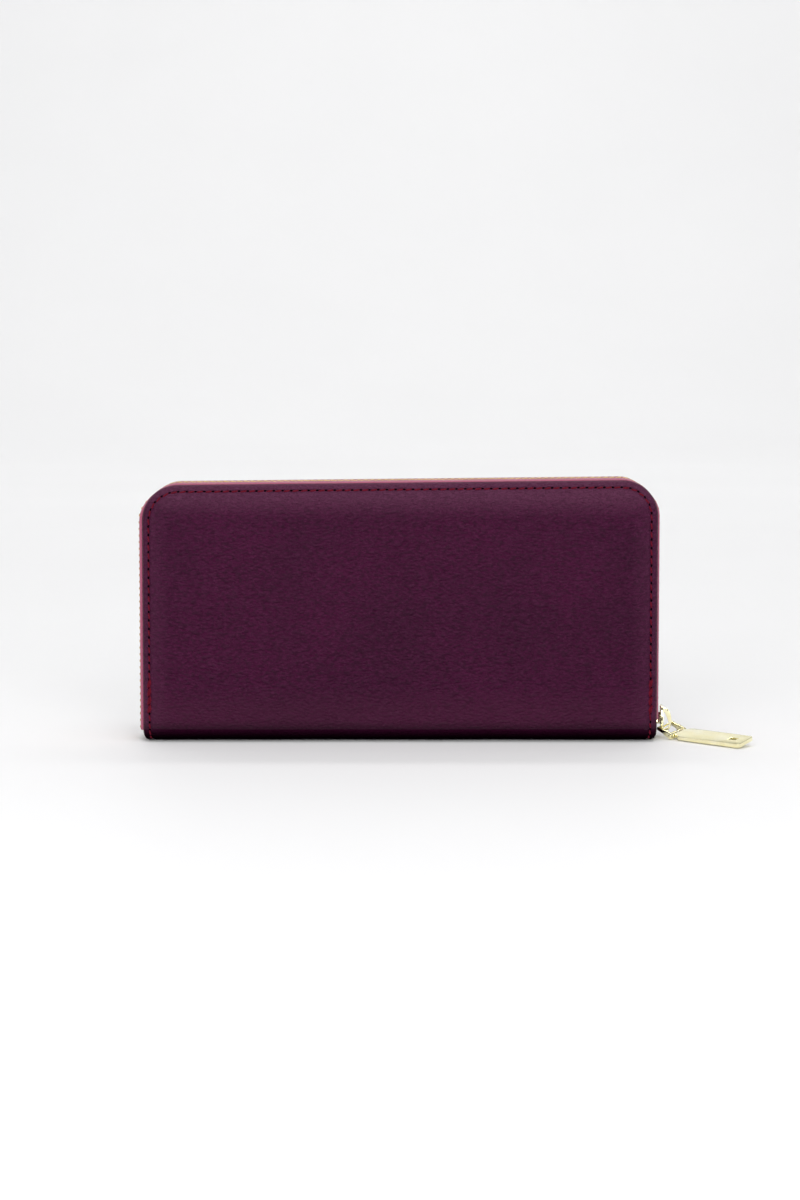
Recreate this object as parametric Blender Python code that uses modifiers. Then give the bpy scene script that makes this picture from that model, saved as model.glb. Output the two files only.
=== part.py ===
"""Long wallet with a zip round three sides, standing closed on its spine.

Frame: metres, +X along the wallet towards the zip slider, -Y the front cover,
+Z up.  The origin is the middle of the flat underside of the spine.
"""
import math
import bpy
import bmesh
from mathutils import Matrix, Vector

MM = 0.001

# ---------------------------------------------------------------- dimensions
LENGTH = 194.0            # cover, left to right
HEIGHT = 98.0             # cover, floor to top edge
THICK = 26.0              # over the two covers in the middle
CORNER_R = 13.5           # top corners of the covers
SKIN = 1.0                # outer leather
EDGE_ROLL = 1.8           # how far the cover edge lies behind its middle
EDGE_ROLL_W = 9.0         # width of the rolled border
COVER_FOOT = 9.3          # lower edge of the cover panels
SPINE_TOP = 9.0           # upper edge of the spine strip
SPINE_R = 7.5             # outer radius where the spine turns up
HINGE_Z = 9.15            # axis of each cover, on the outer face

PAD_IN = (11.0, 11.8)     # distance of each layer from the middle plane
BOARD_IN = (10.2, 10.8)
TAPE_IN = (9.6, 10.0)
LINING_IN = (9.1, 9.4)
SLIP_IN = (8.5, 8.9)
CARD_IN = [(7.9, 8.3), (7.3, 7.7), (6.7, 7.1), (6.1, 6.5)]
CARD_TOP = [82.0, 68.0, 54.0, 40.0]
CARD_FOOT = [28.0, 14.0, 14.0, 14.0]
PANEL_HALF = 88.5
COIN_IN = (1.4, 1.8)
COIN_HALF = 88.0
COIN_TOP = 76.0

TOOTH_OUT = 2.1           # outer side of the teeth beyond the cover edge
TOOTH_T = 1.8             # tooth thickness
TOOTH_ROOT = 3.4          # where the teeth leave the tape
TOOTH_PITCH = 2.54
TEETH_RIGHT_Z = 12.8      # lower end of the chain, slider side
TEETH_LEFT_Z = 6.0        # lower end of the chain, far side

SLIDER_OUT = (99.3, 100.2)   # outer plate
SLIDER_IN = (95.7, 96.5)     # inner plate
BAR = (101.3, 0.0, 4.4)      # centre of the link's bar in the bridge
PULL_YAW = math.radians(42.0)
PULL_ROLL = math.radians(11.0)
LINK_PITCH = math.radians(-25.0)
LINK_LEN = 5.8
ARM_IN, ARM_OUT = 3.4, 4.4
TAB_LEN = 31.4
TAB_HALF = 4.9
TAB_T = 1.5

COIN_SLIDER_X = 74.0

# ---------------------------------------------------------------- scene reset
for ob in list(bpy.data.objects):
    bpy.data.objects.remove(ob, do_unlink=True)
for col in list(bpy.data.collections):
    bpy.data.collections.remove(col)

parts = bpy.data.collections.new("long_wallet")
cutters = bpy.data.collections.new("cutters")
bpy.context.scene.collection.children.link(parts)
bpy.context.scene.collection.children.link(cutters)


# ---------------------------------------------------------------- materials
def material(name, rgb, rough, metal=0.0):
    mat = bpy.data.materials.new(name)
    mat.use_nodes = True
    bsdf = mat.node_tree.nodes["Principled BSDF"]
    bsdf.inputs["Base Color"].default_value = (*rgb, 1.0)
    bsdf.inputs["Roughness"].default_value = rough
    bsdf.inputs["Metallic"].default_value = metal
    mat.diffuse_color = (*rgb, 1.0)
    return mat


LEATHER = material("plum_leather", (0.052, 0.011, 0.030), 0.45)
TRIM = material("plum_trim_leather", (0.070, 0.014, 0.036), 0.50)
LINING = material("plum_lining_cloth", (0.110, 0.020, 0.050), 0.80)
BOARD = material("grey_board", (0.35, 0.33, 0.30), 0.85)
FOAM = material("white_foam", (0.75, 0.75, 0.72), 0.90)
TAPE = material("rose_zip_tape", (0.40, 0.10, 0.17), 0.80)
GOLD = material("light_gold_metal", (0.83, 0.68, 0.36), 0.22, 1.0)
BRASS = material("zip_brass", (0.72, 0.50, 0.20), 0.30, 1.0)

# ---------------------------------------------------------------- joint empties
EMPTIES = {}


def joint_empty(name, at, parent=None):
    e = bpy.data.objects.new(name, None)
    e.empty_display_size = 0.01
    parts.objects.link(e)
    e.location = Vector(at) * MM
    if parent:
        e.parent = EMPTIES[parent][0]
        e.matrix_parent_inverse = EMPTIES[parent][1].inverted()
    EMPTIES[name] = (e, Matrix.Translation(Vector(at) * MM))
    return e


joint_empty("front_cover_axis", (0, -THICK / 2, HINGE_Z))
joint_empty("back_cover_axis", (0, THICK / 2, HINGE_Z))
joint_empty("zip_slider_axis", (98.2, 0, 8.4), "back_cover_axis")
joint_empty("pull_link_axis", BAR, "zip_slider_axis")

V = Vector((math.sin(PULL_YAW) * math.cos(PULL_ROLL),
            math.cos(PULL_YAW) * math.cos(PULL_ROLL), math.sin(PULL_ROLL)))
H = Vector((math.cos(PULL_YAW), -math.sin(PULL_YAW), 0.0))
N = H.cross(V)
if N.z < 0:
    N = -N
U_LINK = H * math.cos(LINK_PITCH) + N * math.sin(LINK_PITCH)
N_LINK = N * math.cos(LINK_PITCH) - H * math.sin(LINK_PITCH)
PIN = Vector(BAR) + U_LINK * LINK_LEN

joint_empty("pull_tab_axis", PIN, "pull_link_axis")
joint_empty("coin_zip_slider_axis", (COIN_SLIDER_X, 0, COIN_TOP + 8.0))
joint_empty("coin_zip_pull_axis", (COIN_SLIDER_X + 0.9, 0, COIN_TOP + 10.0), "coin_zip_slider_axis")


# ---------------------------------------------------------------- helpers
def finish(ob, mat, axis=None, smooth=None):
    """Put a piece in the parts collection, under its joint's empty."""
    ob.data.materials.clear()
    ob.data.materials.append(mat)
    if smooth:
        ob.data.shade_smooth()
        ob.data.set_sharp_from_angle(angle=math.radians(smooth))
    if axis:
        e, m = EMPTIES[axis]
        ob.parent = e
        ob.matrix_parent_inverse = m.inverted()
    return ob


def add_mesh(name, bm, col=parts):
    me = bpy.data.meshes.new(name)
    bm.to_mesh(me)
    bm.free()
    ob = bpy.data.objects.new(name, me)
    col.objects.link(ob)
    return ob


def flat_outline(name, pts, thick, matrix, col=parts):
    """A flat outline (a filled 2D curve) given a thickness, then placed."""
    cu = bpy.data.curves.new(name, "CURVE")
    cu.dimensions = "2D"
    cu.fill_mode = "BOTH"
    cu.extrude = thick * MM / 2
    sp = cu.splines.new("POLY")
    sp.points.add(len(pts) - 1)
    for p, (a, b) in zip(sp.points, pts):
        p.co = (a * MM, b * MM, 0.0, 1.0)
    sp.use_cyclic_u = True
    tmp = bpy.data.objects.new(name + "_curve", cu)
    cutters.objects.link(tmp)
    bpy.context.view_layer.update()
    dg = bpy.context.evaluated_depsgraph_get()
    me = bpy.data.meshes.new_from_object(tmp.evaluated_get(dg))
    bpy.data.objects.remove(tmp, do_unlink=True)
    bm = bmesh.new()
    bm.from_mesh(me)
    bmesh.ops.remove_doubles(bm, verts=bm.verts, dist=1e-6)
    bmesh.ops.recalc_face_normals(bm, faces=bm.faces)
    bm.transform(matrix)
    bm.to_mesh(me)
    bm.free()
    me.name = name
    ob = bpy.data.objects.new(name, me)
    col.objects.link(ob)
    return ob


def frame_xz(y):
    """Outline (x, z), thickness along Y, centred at y."""
    return Matrix(((1, 0, 0, 0), (0, 0, -1, y * MM), (0, 1, 0, 0), (0, 0, 0, 1)))


def frame_yz(x):
    """Outline (y, z), thickness along X, centred at x."""
    return Matrix(((0, 0, 1, x * MM), (1, 0, 0, 0), (0, 1, 0, 0), (0, 0, 0, 1)))


def frame_axes(at, a, b, c):
    """Outline along a and b, thickness along c."""
    at = Vector(at) * MM
    return Matrix(((a.x, b.x, c.x, at.x), (a.y, b.y, c.y, at.y),
                   (a.z, b.z, c.z, at.z), (0, 0, 0, 1)))


def arc(cx, cy, r, a0, a1, n):
    return [(cx + r * math.cos(math.radians(a0 + (a1 - a0) * i / n)),
             cy + r * math.sin(math.radians(a0 + (a1 - a0) * i / n)))
            for i in range(n + 1)]


def panel_outline(half, foot, top, r_top, r_foot=0.0, n=5):
    pts = []
    if r_foot:
        pts += arc(-half + r_foot, foot + r_foot, r_foot, 180, 270, 3)
        pts += arc(half - r_foot, foot + r_foot, r_foot, 270, 360, 3)
    else:
        pts += [(-half, foot), (half, foot)]
    if r_top:
        pts += arc(half - r_top, top - r_top, r_top, 0, 90, n)
        pts += arc(-half + r_top, top - r_top, r_top, 90, 180, n)
    else:
        pts += [(half, top), (-half, top)]
    return pts


def bevel(ob, width, segments=1, angle=40):
    m = ob.modifiers.new("edge", "BEVEL")
    m.width = width * MM
    m.segments = segments
    m.limit_method = "ANGLE"
    m.angle_limit = math.radians(angle)
    return m


def boolean(ob, tool, op):
    m = ob.modifiers.new(op.lower() + "_" + tool.name, "BOOLEAN")
    m.operation = op
    m.object = tool
    m.solver = "EXACT"
    tool.hide_render = True
    tool.display_type = "WIRE"
    return m


def box(name, lo, hi, col=parts):
    bm = bmesh.new()
    bmesh.ops.create_cube(bm, size=1.0)
    for v in bm.verts:
        v.co = Vector([(lo[i] + (hi[i] - lo[i]) * (v.co[i] + 0.5)) * MM for i in range(3)])
    return add_mesh(name, bm, col)


def rod(name, centre, axis, radius, length, segs=16, col=parts):
    bm = bmesh.new()
    bmesh.ops.create_cone(bm, cap_ends=True, cap_tris=False, segments=segs,
                          radius1=radius * MM, radius2=radius * MM, depth=length * MM)
    q = Vector((0, 0, 1)).rotation_difference(Vector(axis).normalized())
    bm.transform(Matrix.Translation(Vector(centre) * MM) @ q.to_matrix().to_4x4())
    return add_mesh(name, bm, col)


# ---------------------------------------------------------------- path round the zip
def zip_path(off, right_z, left_z, n_corner=8, step=None):
    """Points (x, z, nx, nz) along the cover outline moved outwards by off,
    from the right foot over the top to the left foot."""
    half = LENGTH / 2
    r = CORNER_R + off
    top = HEIGHT
    side = top - CORNER_R
    out = []
    if step is None:
        out.append((half + off, right_z, 1, 0))
        for a in range(n_corner + 1):
            t = math.radians(90.0 * a / n_corner)
            out.append((half - CORNER_R + r * math.cos(t), side + r * math.sin(t),
                        math.cos(t), math.sin(t)))
        for a in range(n_corner + 1):
            t = math.radians(90 + 90.0 * a / n_corner)
            out.append((-half + CORNER_R + r * math.cos(t), side + r * math.sin(t),
                        math.cos(t), math.sin(t)))
        out.append((-half - off, left_z, -1, 0))
        return out
    l1 = side - right_z
    l2 = math.pi / 2 * r
    l3 = 2 * (half - CORNER_R)
    l5 = side - left_z
    total = l1 + l2 + l3 + l2 + l5
    count = int(total / step)
    for i in range(count + 1):
        s = total * i / count
        if s <= l1:
            out.append((half + off, right_z + s, 1, 0))
        elif s <= l1 + l2:
            t = (s - l1) / r
            out.append((half - CORNER_R + r * math.cos(t), side + r * math.sin(t),
                        math.cos(t), math.sin(t)))
        elif s <= l1 + l2 + l3:
            out.append((half - CORNER_R - (s - l1 - l2), top + off, 0, 1))
        elif s <= l1 + 2 * l2 + l3:
            t = math.pi / 2 + (s - l1 - l2 - l3) / r
            out.append((-half + CORNER_R + r * math.cos(t), side + r * math.sin(t),
                        math.cos(t), math.sin(t)))
        else:
            out.append((-half - off, side - (s - l1 - 2 * l2 - l3), -1, 0))
    return out


# ---------------------------------------------------------------- covers
def roll_at(e):
    """How far the cover surface drops back at the distance e from its edge."""
    t = max(0.0, 1.0 - e / EDGE_ROLL_W)
    return EDGE_ROLL * t * t


def cover_skin(name, side, axis):
    """Outer leather of one cover: open strips round the border and one flat
    field, given the leather's thickness by Solidify."""
    rings = [0.0, 1.0, 2.4, 4.2, 6.4, 9.0]
    bm = bmesh.new()
    rows = []
    for e in rings:
        half = LENGTH / 2 - e
        r = max(CORNER_R - e, 3.0)
        top = HEIGHT - e
        pts = [(half, COVER_FOOT)]
        pts += [(half, COVER_FOOT + 25.0)]
        pts += arc(half - r, top - r, r, 0, 90, 7)
        pts += [(0.0, top)]
        pts += arc(-half + r, top - r, r, 90, 180, 7)
        pts += [(-half, COVER_FOOT + 25.0), (-half, COVER_FOOT)]
        y = side * (THICK / 2 - roll_at(e))
        rows.append([bm.verts.new((x * MM, y * MM, z * MM)) for x, z in pts])
    for a, b in zip(rows[:-1], rows[1:]):
        for i in range(len(a) - 1):
            bm.faces.new((a[i], a[i + 1], b[i + 1], b[i]))
    bm.faces.new(rows[-1])
    bmesh.ops.recalc_face_normals(bm, faces=bm.faces)
    bm.faces.ensure_lookup_table()
    if bm.faces[-1].normal.y * side < 0:
        bmesh.ops.reverse_faces(bm, faces=bm.faces)
    ob = add_mesh(name, bm)
    m = ob.modifiers.new("leather", "SOLIDIFY")
    m.thickness = SKIN * MM
    m.offset = -1.0
    m.use_even_offset = True
    finish(ob, LEATHER, axis)
    return ob


def layer(name, side, span, outline, mat, axis, edge=0.0):
    y = side * (span[0] + span[1]) / 2
    ob = flat_outline(name, outline, span[1] - span[0], frame_xz(y))
    if edge:
        bevel(ob, edge)
    return finish(ob, mat, axis)


for word, side in (("front", -1), ("back", 1)):
    axis = word + "_cover_axis"
    cover_skin(word + "_cover_leather", side, axis)
    layer(word + "_cover_padding", side, PAD_IN,
          panel_outline(LENGTH / 2 - 9, 14.0, HEIGHT - 9, 7.0), FOAM, axis)
    layer(word + "_cover_board", side, BOARD_IN,
          panel_outline(LENGTH / 2 - 3.5, 11.0, HEIGHT - 3.5, 10.0), BOARD, axis)
    layer(word + "_lining", side, LINING_IN,
          panel_outline(LENGTH / 2 - 2.0, 11.0, HEIGHT - 2.0, 11.5), LINING, axis)
    layer(word + "_slip_pocket", side, SLIP_IN,
          panel_outline(PANEL_HALF, 14.0, 90.0, 5.0), TRIM, axis)
    for k in range(4):
        layer("%s_card_panel_%d" % (word, k + 1), side, CARD_IN[k],
              panel_outline(PANEL_HALF, CARD_FOOT[k], CARD_TOP[k], 1.5), TRIM, axis)

# ---------------------------------------------------------------- spine
FLAT = THICK / 2 - SPINE_R


def spine_u(outset, thick, top, r_out):
    """Closed outline of the U-shaped spine strip (y, z)."""
    half = THICK / 2 - outset
    r = r_out - outset
    ri = r - thick
    pts = [(half, top)]
    pts += arc(half - r, outset + r, r, 0, -90, 6)
    pts += arc(-half + r, outset + r, r, -90, -180, 6)
    pts += [(-half, top), (-half + thick, top)]
    pts += arc(-half + r, outset + r, ri, -180, -90, 6)
    pts += arc(half - r, outset + r, ri, -90, 0, 6)
    pts += [(half - thick, top)]
    return pts


finish(flat_outline("spine_leather", spine_u(0.0, SKIN, SPINE_TOP, SPINE_R),
                    LENGTH - 1.0, frame_yz(0.0)), LEATHER)
finish(flat_outline("spine_lining", spine_u(SKIN + 0.3, 0.5, SPINE_TOP, SPINE_R),
                    LENGTH - 6.0, frame_yz(0.0)), LINING)

# ---------------------------------------------------------------- zip tapes
TAPE_T = TAPE_IN[1] - TAPE_IN[0]


def zip_tape(name, side, axis):
    """Woven tape: sewn flat under the cover edge, turning in to the teeth."""
    section = [(-4.0, 10.0), (-1.2, 10.0), (0.3, 9.75), (1.2, 8.9),
               (1.75, 7.4), (1.95, 5.6), (1.95, TOOTH_ROOT + 0.15)]
    bm = bmesh.new()
    rows = []
    for off, y in section:
        rows.append([bm.verts.new((x * MM, side * y * MM, z * MM))
                     for x, z, nx, nz in zip_path(off, TEETH_RIGHT_Z, TEETH_LEFT_Z)])
    for a, b in zip(rows[:-1], rows[1:]):
        for i in range(len(a) - 1):
            bm.faces.new((a[i], a[i + 1], b[i + 1], b[i]))
    bmesh.ops.recalc_face_normals(bm, faces=bm.faces)
    bm.faces.ensure_lookup_table()
    if bm.faces[-len(rows[0]) // 2].normal.z < 0:
        bmesh.ops.reverse_faces(bm, faces=bm.faces)
    ob = add_mesh(name, bm)
    m = ob.modifiers.new("weave", "SOLIDIFY")
    m.thickness = TAPE_T * MM
    m.offset = -1.0
    m.use_even_offset = True
    return finish(ob, TAPE, axis)


def zip_teeth(name, side, axis):
    """One row of teeth joined along its root; the tips of the two rows
    alternate, and a 0.45 mm gap runs between them."""
    path = zip_path(TOOTH_OUT, TEETH_RIGHT_Z, TEETH_LEFT_Z, step=TOOTH_PITCH / 2)
    if len(path) % 2 == 0:
        path = path[:-1]
    bm = bmesh.new()
    secs = []
    for i, (x, z, nx, nz) in enumerate(path):
        tip = -0.85 if i % 2 else 0.85
        y_tip = tip + side * 0.22
        y_root = side * TOOTH_ROOT
        xi, zi = x - nx * TOOTH_T, z - nz * TOOTH_T
        secs.append([bm.verts.new((px * MM, py * MM, pz * MM)) for px, py, pz in
                     ((x, y_root, z), (x, y_tip, z), (xi, y_tip, zi), (xi, y_root, zi))])
    for a, b in zip(secs[:-1], secs[1:]):
        for k in range(4):
            bm.faces.new((a[k], a[(k + 1) % 4], b[(k + 1) % 4], b[k]))
    bm.faces.new(secs[0])
    bm.faces.new(list(reversed(secs[-1])))
    bmesh.ops.recalc_face_normals(bm, faces=bm.faces)
    return finish(add_mesh(name, bm), BRASS, axis)


for word, side in (("front", -1), ("back", 1)):
    zip_tape("zip_tape_" + word, side, word + "_cover_axis")
    zip_teeth("zip_teeth_" + word, side, word + "_cover_axis")

finish(bevel(box("zip_end_stop_right", (97.3, -2.1, 1.1), (98.8, 2.1, 2.6)), 0.3).id_data, BRASS)
finish(bevel(box("zip_end_stop_left", (-98.8, -2.1, 3.9), (-97.3, 2.1, 5.4)), 0.3).id_data, BRASS)

# ---------------------------------------------------------------- gussets
GUSSET = [(92.0, 8.7), (90.2, 5.6), (84.0, 4.5), (77.0, 4.15), (76.2, 3.85),
          (77.0, 3.55), (84.0, 3.2), (89.2, 2.5), (90.0, 1.5)]


def thick_line(pts, t):
    """Outline of an open polyline given a thickness."""
    left, right = [], []
    for i, p in enumerate(pts):
        a = Vector(pts[max(i - 1, 0)])
        b = Vector(pts[min(i + 1, len(pts) - 1)])
        d = (b - a).normalized()
        n = Vector((-d.y, d.x))
        left.append(tuple(Vector(p) + n * t / 2))
        right.append(tuple(Vector(p) - n * t / 2))
    return left + right[::-1]


def frame_xy(z):
    return Matrix.Translation((0, 0, z * MM))


for end, sx in (("right", 1), ("left", -1)):
    for word, side in (("front", -1), ("back", 1)):
        pts = thick_line([(sx * x, side * y) for x, y in GUSSET], 0.16)
        finish(flat_outline("gusset_%s_%s" % (end, word), pts, 68.0, frame_xy(48.0)), LINING)

# ---------------------------------------------------------------- coin pocket
for word, side in (("front", -1), ("back", 1)):
    layer("coin_pocket_%s_panel" % word, side, COIN_IN,
          panel_outline(COIN_HALF, 6.0, COIN_TOP, 4.0), TRIM, None)
    pts = thick_line([(side * 1.6, COIN_TOP + 0.3), (side * 1.55, COIN_TOP + 3.0),
                      (side * 1.35, COIN_TOP + 6.6)], 0.4)
    finish(flat_outline("coin_zip_tape_" + word, pts, 162.0, frame_yz(0.0)), TAPE)

CHAIN_Z = COIN_TOP + 6.4
bm = bmesh.new()
secs = []
COUNT = 2 * 31
for i in range(COUNT + 1):
    x = -78.0 + 156.0 * i / COUNT
    w = 0.95 if i % 2 else 0.65
    secs.append([bm.verts.new((x * MM, y * MM, z * MM)) for y, z in
                 ((-w, CHAIN_Z), (w, CHAIN_Z), (w, CHAIN_Z + 1.6), (-w, CHAIN_Z + 1.6))])
for a, b in zip(secs[:-1], secs[1:]):
    for k in range(4):
        bm.faces.new((a[k], a[(k + 1) % 4], b[(k + 1) % 4], b[k]))
bm.faces.new(secs[0])
bm.faces.new(list(reversed(secs[-1])))
bmesh.ops.recalc_face_normals(bm, faces=bm.faces)
finish(add_mesh("coin_zip_teeth", bm), BRASS)
finish(bevel(box("coin_zip_stop_left", (-80.4, -1.0, CHAIN_Z - 0.1), (-78.6, 1.0, CHAIN_Z + 1.7)), 0.25).id_data, BRASS)
finish(bevel(box("coin_zip_stop_right", (79.4, -1.0, CHAIN_Z - 0.1), (81.0, 1.0, CHAIN_Z + 1.7)), 0.25).id_data, BRASS)

# the coin slider is a channel that straddles the chain, with a bridge on top
sx = COIN_SLIDER_X
cz = CHAIN_Z + 2.0          # underside of the slider's top plate
channel = [(-2.9, cz - 3.6), (-2.2, cz - 3.6), (-2.2, cz), (2.2, cz), (2.2, cz - 3.6),
           (2.9, cz - 3.6), (2.9, cz + 0.3), (2.4, cz + 0.8), (-2.4, cz + 0.8),
           (-2.9, cz + 0.3)]
slider = flat_outline("coin_zip_slider", channel, 7.5, frame_yz(sx))
bridge = [(sx - 3.0, cz + 0.5), (sx - 3.0, cz + 1.8), (sx - 2.0, cz + 3.0),
          (sx + 2.0, cz + 3.0), (sx + 3.0, cz + 1.8), (sx + 3.0, cz + 0.5),
          (sx + 2.3, cz + 0.5), (sx + 2.3, cz + 1.6), (sx + 1.6, cz + 2.4),
          (sx - 1.6, cz + 2.4), (sx - 2.3, cz + 1.6), (sx - 2.3, cz + 0.5)]
bridge_tool = flat_outline("coin_bridge_tool", bridge, 1.2, frame_xz(0.0), cutters)
boolean(slider, bridge_tool, "UNION")
finish(slider, GOLD, "coin_zip_slider_axis")

# the coin pull is a flat tab with a window that the bridge passes through
px = sx
tab = [(px + 1.3, -2.0), (px + 1.3, 2.0), (px - 3.6, 2.0), (px - 4.6, 2.5),
       (px - 9.4, 2.5), (px - 10.6, 1.3), (px - 10.6, -1.3), (px - 9.4, -2.5),
       (px - 4.6, -2.5), (px - 3.6, -2.0)]
pull = flat_outline("coin_zip_pull", tab, 0.8, frame_xy(cz + 1.6))
window = box("coin_pull_window", (px - 3.6, -1.1, cz), (px + 0.5, 1.1, cz + 3.0), cutters)
boolean(pull, window, "DIFFERENCE")
finish(pull, GOLD, "coin_zip_pull_axis")

# ---------------------------------------------------------------- main slider
plate = [(2.4, 12.2), (3.1, 11.4), (3.7, 9.6), (4.2, 7.4), (4.2, 5.9), (3.6, 5.0),
         (-3.6, 5.0), (-4.2, 5.9), (-4.2, 7.4), (-3.7, 9.6), (-3.1, 11.4), (-2.4, 12.2)]
body = flat_outline("zip_slider_body", plate, SLIDER_OUT[1] - SLIDER_OUT[0],
                    frame_yz(sum(SLIDER_OUT) / 2))
inner = flat_outline("slider_inner_plate", plate, SLIDER_IN[1] - SLIDER_IN[0],
                     frame_yz(sum(SLIDER_IN) / 2), cutters)
neck = flat_outline("slider_neck", [(0, 5.1), (1.3, 6.0), (0, 8.6), (-1.3, 6.0)],
                    SLIDER_OUT[0] - SLIDER_IN[1] + 0.8,
                    frame_yz((SLIDER_OUT[0] + SLIDER_IN[1]) / 2), cutters)
boolean(body, neck, "UNION")
boolean(body, inner, "UNION")
for i, (lo, hi) in enumerate((((98.75, -4.0, 5.9), (99.5, -3.45, 9.0)),
                              ((98.75, 3.45, 5.9), (99.5, 4.0, 9.0)),
                              ((96.3, -4.0, 5.9), (97.05, -3.45, 9.0)),
                              ((96.3, 3.45, 5.9), (97.05, 4.0, 9.0)))):
    boolean(body, box("slider_flange_%d" % i, lo, hi, cutters), "UNION")
outer_line = [(99.9, 11.6), (101.1, 11.5), (102.3, 10.7), (103.15, 9.2), (103.55, 7.4),
              (103.6, 5.6), (103.3, 4.1), (102.5, 2.85), (101.1, 2.4), (100.1, 2.7),
              (99.5, 3.5), (99.35, 5.4)]
inner_line = [(100.0, 9.9), (100.6, 9.8), (101.1, 9.3), (101.7, 8.2), (102.2, 6.9),
              (102.6, 5.6), (102.65, 4.3), (102.0, 3.6), (101.1, 3.3), (100.5, 3.5),
              (100.15, 4.0), (100.0, 5.4)]
bridge = flat_outline("slider_bridge", outer_line + inner_line[::-1], 1.4,
                      frame_xz(0.0), cutters)
boolean(body, bridge, "UNION")
finish(body, GOLD, "zip_slider_axis")

# ---------------------------------------------------------------- pull link and pin
arm = [(-0.75, -0.4), (-0.45, -0.72), (2.4, -0.76), (3.6, -1.06)]
arm += arc(LINK_LEN, 0.0, 1.1, -80, 80, 7)
arm += [(3.6, 1.06), (2.4, 0.76), (-0.45, 0.72), (-0.75, 0.4)]
near = Vector(BAR) - V * (ARM_IN + ARM_OUT) / 2
far = Vector(BAR) + V * (ARM_IN + ARM_OUT) / 2
link = flat_outline("pull_link", arm, ARM_OUT - ARM_IN,
                    frame_axes(near, U_LINK, N_LINK, -V))
far_arm = flat_outline("pull_far_arm", arm, ARM_OUT - ARM_IN,
                       frame_axes(far, U_LINK, N_LINK, -V), cutters)
bar = rod("pull_bar", BAR, V, 0.40, 2 * ARM_IN + 0.8, 12, cutters)
pin_hole = rod("pull_pin_hole", PIN, V, 0.72, 12.0, 14, cutters)
boolean(link, bar, "UNION")
boolean(link, far_arm, "UNION")
boolean(link, pin_hole, "DIFFERENCE")
finish(link, GOLD, "pull_link_axis")

pin = rod("pull_pin", PIN, V, 0.50, 2 * ARM_OUT + 0.9, 14)
for i, s in enumerate((-1, 1)):
    head = rod("pull_pin_head_%d" % i, PIN + V * s * (ARM_OUT + 0.42), V, 0.85, 0.36, 14, cutters)
    boolean(pin, head, "UNION")
finish(pin, GOLD, "pull_link_axis", 40)

# ---------------------------------------------------------------- pull tab
tab = [(0.0, -3.1), (1.9, -3.1), (3.4, -TAB_HALF + 0.3), (4.6, -TAB_HALF)]
tab += arc(TAB_LEN - 0.9, -TAB_HALF + 0.9, 0.9, -90, 0, 4)
tab += arc(TAB_LEN - 0.9, TAB_HALF - 0.9, 0.9, 0, 90, 4)
tab += [(4.6, TAB_HALF), (3.4, TAB_HALF - 0.3), (1.9, 3.1), (0.0, 3.1)]
pull = flat_outline("pull_tab", tab, TAB_T, frame_axes(PIN, H, V, H.cross(V)))
barrel = rod("pull_barrel", PIN, V, 1.04, 6.2, 16, cutters)
boolean(pull, barrel, "UNION")
for i, at in enumerate((-2.55, -1.3, 1.3, 2.55)):
    boolean(pull, rod("pull_barrel_rib_%d" % i, PIN + V * at, V, 1.23, 0.62, 14, cutters), "UNION")
boolean(pull, rod("pull_barrel_hole", PIN, V, 0.72, 12.0, 14, cutters), "DIFFERENCE")
slot = [(TAB_LEN - 7.4, -1.3), (TAB_LEN - 3.8, -1.3), (TAB_LEN - 3.8, 1.3), (TAB_LEN - 7.4, 1.3)]
slot_tool = flat_outline("pull_slot", slot, 6.0, frame_axes(PIN, H, V, H.cross(V)), cutters)
boolean(pull, slot_tool, "DIFFERENCE")
finish(pull, GOLD, "pull_tab_axis")
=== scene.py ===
"""Looks of the long wallet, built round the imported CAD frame."""
import math
import bpy
import bmesh
import numpy as np
from mathutils import Matrix, Vector, noise
from mathutils.kdtree import KDTree


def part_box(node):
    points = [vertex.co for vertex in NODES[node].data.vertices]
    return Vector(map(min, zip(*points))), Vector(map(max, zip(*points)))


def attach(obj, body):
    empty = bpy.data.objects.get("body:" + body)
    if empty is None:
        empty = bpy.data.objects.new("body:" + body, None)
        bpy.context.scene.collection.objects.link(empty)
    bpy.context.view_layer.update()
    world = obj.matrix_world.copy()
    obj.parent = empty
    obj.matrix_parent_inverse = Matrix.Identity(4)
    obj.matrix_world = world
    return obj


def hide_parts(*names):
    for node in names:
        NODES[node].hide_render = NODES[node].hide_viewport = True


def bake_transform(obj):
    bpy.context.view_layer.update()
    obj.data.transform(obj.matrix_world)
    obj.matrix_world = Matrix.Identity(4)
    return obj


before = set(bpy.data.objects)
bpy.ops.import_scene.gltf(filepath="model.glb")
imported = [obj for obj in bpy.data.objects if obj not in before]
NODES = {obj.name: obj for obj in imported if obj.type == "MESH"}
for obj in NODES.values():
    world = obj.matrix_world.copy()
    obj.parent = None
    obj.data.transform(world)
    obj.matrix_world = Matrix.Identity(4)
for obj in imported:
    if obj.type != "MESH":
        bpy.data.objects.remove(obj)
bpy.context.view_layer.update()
MM = 0.001


# ------------------------------------------------------------------ sizes from the frame
def node_box(name):
    lo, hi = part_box(name)
    return [c / MM for c in lo], [c / MM for c in hi]


lo, hi = node_box("front_cover_leather")
HALF = hi[0]                       # half the cover's length
TOP = hi[2]
FRONT = -lo[1]                     # outer face from the middle plane
CORNER = 13.5
SPINE_R = 7.5
FLAT = FRONT - SPINE_R
ROLL, ROLL_W = 1.8, 9.0
V_SIDE = FLAT + SPINE_R * math.pi / 2      # arc length where the cover stands upright
V_TOP = V_SIDE + TOP - SPINE_R
THREAD_E = 2.6                     # stitch line from the edge
PITCH = 3.27


# ------------------------------------------------------------------ small helpers
def new_object(name, me):
    ob = bpy.data.objects.new(name, me)
    bpy.context.scene.collection.objects.link(ob)
    return ob


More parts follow.
